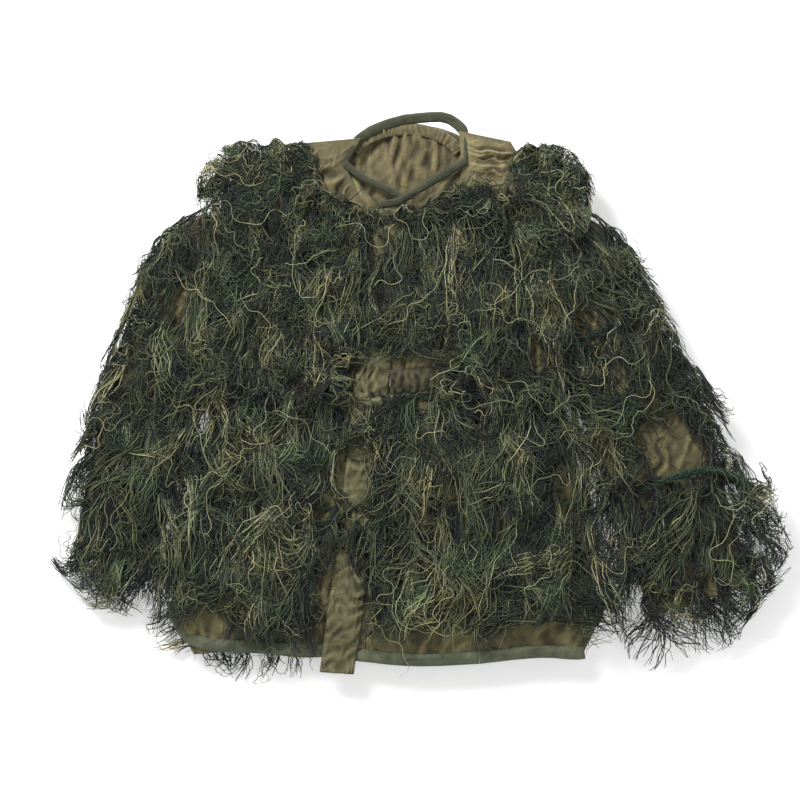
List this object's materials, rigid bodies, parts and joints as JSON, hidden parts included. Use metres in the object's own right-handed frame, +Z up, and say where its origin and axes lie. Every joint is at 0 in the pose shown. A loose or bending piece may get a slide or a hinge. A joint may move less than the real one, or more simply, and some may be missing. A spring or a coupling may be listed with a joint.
{
  "type": "ghillie jacket",
  "caption": "Camouflage jacket of thin tan cloth covered in rows of green yarn fringe, laid flat with a snapped front flap and two sleeves that swing and bend.",
  "frame": {"origin": "on the floor under the middle of the jacket's overall box", "axes": "+Z up from the floor, +Y from the hem towards the collar, +X to the right of the jacket as it lies with its front up"},
  "size_m": [1.0282, 0.7846, 0.0692],
  "materials": {
    "shell_cloth": "matte",
    "green_binding": "matte",
    "yarn": "matte",
    "knot_cord": "matte",
    "elastic": "matte",
    "snap_metal": "satin"
  },
  "bodies": {
    "torso": {"back_panel": "shell_cloth", "back_neck_facing": "shell_cloth", "left_front_panel": "shell_cloth", "right_front_panel": "shell_cloth", "under_placket": "shell_cloth", "left_shoulder_yoke": "shell_cloth", "right_shoulder_yoke": "shell_cloth", "back_neck_binding": "green_binding", "left_neck_binding": "green_binding", "left_hem_binding": "green_binding", "right_hem_binding": "green_binding", "back_hem_binding": "green_binding", "left_waist_casing": "shell_cloth", "right_waist_casing": "shell_cloth", "waist_elastic": "elastic", "snap_studs": "snap_metal", "snap_posts": "snap_metal", "torso_knot_rows": "knot_cord", "left_shoulder_fringe": "yarn", "right_shoulder_fringe": "yarn", "left_chest_fringe": "yarn", "right_chest_fringe": "yarn", "left_waist_fringe": "yarn", "right_waist_fringe": "yarn", "left_skirt_fringe": "yarn", "right_skirt_fringe": "yarn", "back_chest_fringe": "yarn", "back_waist_fringe": "yarn", "back_skirt_fringe": "yarn"},
    "front_flap": {"flap_panel": "shell_cloth", "over_placket": "shell_cloth", "flap_neck_binding": "green_binding", "flap_hem_binding": "green_binding", "flap_waist_casing": "shell_cloth", "flap_elastic": "elastic", "snap_caps": "snap_metal", "snap_sockets": "snap_metal", "flap_knot_rows": "knot_cord", "flap_chest_fringe": "yarn", "flap_waist_fringe": "yarn", "flap_skirt_fringe": "yarn"},
    "left_upper_arm": {"left_upper_sleeve": "shell_cloth", "left_upper_underside": "shell_cloth", "left_upper_fringe": "yarn", "left_upper_knot_rows": "knot_cord"},
    "left_lower_arm": {"left_forearm_sleeve": "shell_cloth", "left_forearm_underside": "shell_cloth", "left_cuff_casing": "shell_cloth", "left_cuff_elastic": "elastic", "left_forearm_fringe": "yarn"},
    "right_upper_arm": {"right_upper_sleeve": "shell_cloth", "right_upper_underside": "shell_cloth", "right_upper_fringe": "yarn", "right_upper_knot_rows": "knot_cord"},
    "right_lower_arm": {"right_forearm_sleeve": "shell_cloth", "right_forearm_underside": "shell_cloth", "right_cuff_casing": "shell_cloth", "right_cuff_elastic": "elastic", "right_forearm_fringe": "yarn"}
  },
  "joints": [
    {"name": "front_flap_fold", "type": "hinge", "parent": "torso", "child": "front_flap", "pos_m": [0.08889, 0.006, 0.0702], "axis": [0, 1, 0], "range_deg": [0, 180]},
    {"name": "left_sleeve_swing", "type": "hinge", "parent": "torso", "child": "left_upper_arm", "pos_m": [-0.28711, 0.1755, 0.0336], "axis": [0, 0, -1], "range_deg": [0, 60]},
    {"name": "left_elbow_bend", "type": "hinge", "parent": "left_upper_arm", "child": "left_lower_arm", "pos_m": [-0.37385, -0.02885, 0.0336], "axis": [0, 0, -1], "range_deg": [0, 40]},
    {"name": "right_sleeve_swing", "type": "hinge", "parent": "torso", "child": "right_upper_arm", "pos_m": [0.21289, 0.1755, 0.0336], "axis": [0, 0, 1], "range_deg": [0, 60]},
    {"name": "right_elbow_bend", "type": "hinge", "parent": "right_upper_arm", "child": "right_lower_arm", "pos_m": [0.31368, -0.0223, 0.0336], "axis": [0, 0, 1], "range_deg": [0, 40]}
  ]
}
